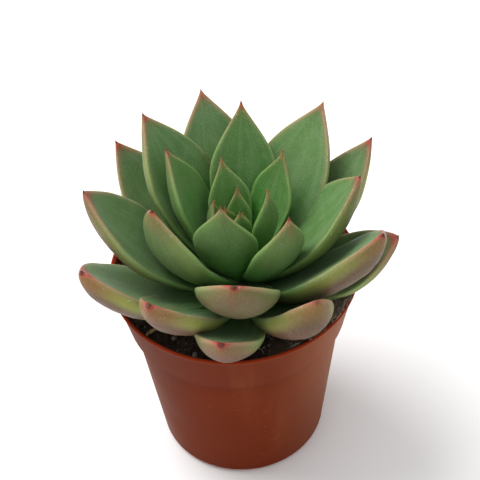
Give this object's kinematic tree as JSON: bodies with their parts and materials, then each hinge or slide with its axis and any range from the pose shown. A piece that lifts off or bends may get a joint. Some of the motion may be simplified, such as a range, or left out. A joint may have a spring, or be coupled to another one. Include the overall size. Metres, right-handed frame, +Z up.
{
  "type": "potted succulent",
  "caption": "Rosette succulent with thick pointed green leaves and dark red tips, growing in soil in a round terracotta-coloured plastic nursery pot.",
  "frame": {"origin": "centre of the pot's underside, on the surface it stands on", "axes": "+Z up, along the pot's axis; -Y is the side seen from the front"},
  "size_m": [0.1279, 0.114, 0.1655],
  "materials": {
    "pot": "satin",
    "soil": "matte",
    "stem": "matte",
    "leaf": "satin"
  },
  "bodies": {
    "root": {"pot": "pot", "soil": "soil", "stem": "stem", "leaf_01": "leaf", "leaf_02": "leaf", "leaf_03": "leaf", "leaf_04": "leaf", "leaf_05": "leaf", "leaf_06": "leaf", "leaf_07": "leaf", "leaf_08": "leaf", "leaf_09": "leaf", "leaf_10": "leaf", "leaf_11": "leaf", "leaf_12": "leaf", "leaf_13": "leaf", "leaf_14": "leaf", "leaf_15": "leaf", "leaf_16": "leaf", "leaf_17": "leaf", "leaf_18": "leaf", "leaf_19": "leaf", "leaf_20": "leaf", "leaf_21": "leaf", "leaf_22": "leaf", "leaf_23": "leaf", "leaf_24": "leaf", "leaf_25": "leaf", "leaf_26": "leaf", "leaf_27": "leaf", "leaf_28": "leaf", "leaf_29": "leaf", "leaf_30": "leaf"}
  },
  "joints": []
}
